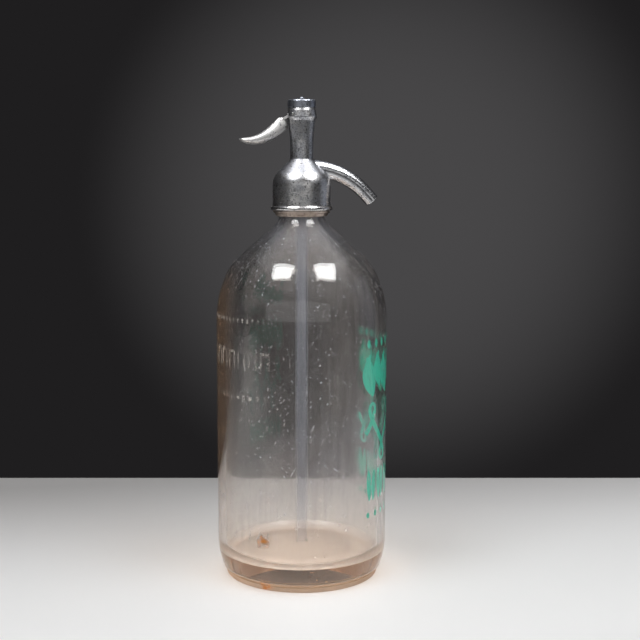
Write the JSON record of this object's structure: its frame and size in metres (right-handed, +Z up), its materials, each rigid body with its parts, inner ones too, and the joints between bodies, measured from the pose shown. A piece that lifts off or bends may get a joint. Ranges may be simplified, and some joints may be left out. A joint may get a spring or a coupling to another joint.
{
  "type": "soda siphon",
  "caption": "Refillable thick glass soda siphon: a plated head with a sprung thumb lever lifts a valve, and soda rises through the dip tube and leaves by a downturned spout.",
  "frame": {"origin": "centre of the foot on the table, on the bottle's axis", "axes": "+Z up along the bottle's axis, +X the way the spout pours, the thumb lever towards -X"},
  "size_m": [0.107, 0.107, 0.2994],
  "materials": {
    "bottle_glass": "thick pressed glass, clear with a faint warm tint, hazed and scuffed",
    "tube_glass": "drawn glass tube",
    "head_plating": "worn nickel plate on cast brass",
    "neck_plating": "dull nickel plate, browned",
    "cap_plating": "pitted nickel plate, knurled",
    "lever_plating": "nickel plate, rubbed smooth",
    "turned_brass": "turned",
    "steel_rod": "turned",
    "spring_wire": "drawn",
    "red_rubber": "matt",
    "black_rubber": "matt",
    "moulded_plug": "moulded, cream"
  },
  "bodies": {
    "siphon": {"bottle": "bottle_glass", "neck_ring_rear": "neck_plating", "neck_ring_front": "neck_plating", "lip_packing": "red_rubber", "lip_gasket": "red_rubber", "tube_holder": "moulded_plug", "head_seal": "red_rubber", "valve_seat": "turned_brass", "dip_tube": "tube_glass", "tube_grommet": "black_rubber", "tube_nut": "moulded_plug", "head_body": "head_plating", "spout_tube": "head_plating", "rod_packing": "black_rubber", "gland_nut": "turned_brass", "return_spring": "spring_wire", "cap_washer": "red_rubber", "top_cap": "cap_plating", "lever_pin": "steel_rod"},
    "lever": {"lever": "lever_plating"},
    "piston": {"piston_rod": "steel_rod", "valve_cup": "turned_brass", "valve_disc": "black_rubber"}
  },
  "joints": [
    {"name": "lever_pivot", "type": "hinge", "parent": "siphon", "child": "lever", "pos_m": [-0.0064, 0, 0.28889], "axis": [0, -1, 0], "range_deg": [0, 15], "stiffness_Nm_per_rad": 0.2, "springref_deg": -25.78},
    {"name": "piston_lift", "type": "slide", "parent": "siphon", "child": "piston", "axis": [0, 0, 1], "range_m": [0, 0.0017], "deforming": ["return_spring"]}
  ],
  "couplings": [
    {"joint": "piston_lift", "follows": "lever_pivot", "m_per_rad": 0.0064}
  ]
}
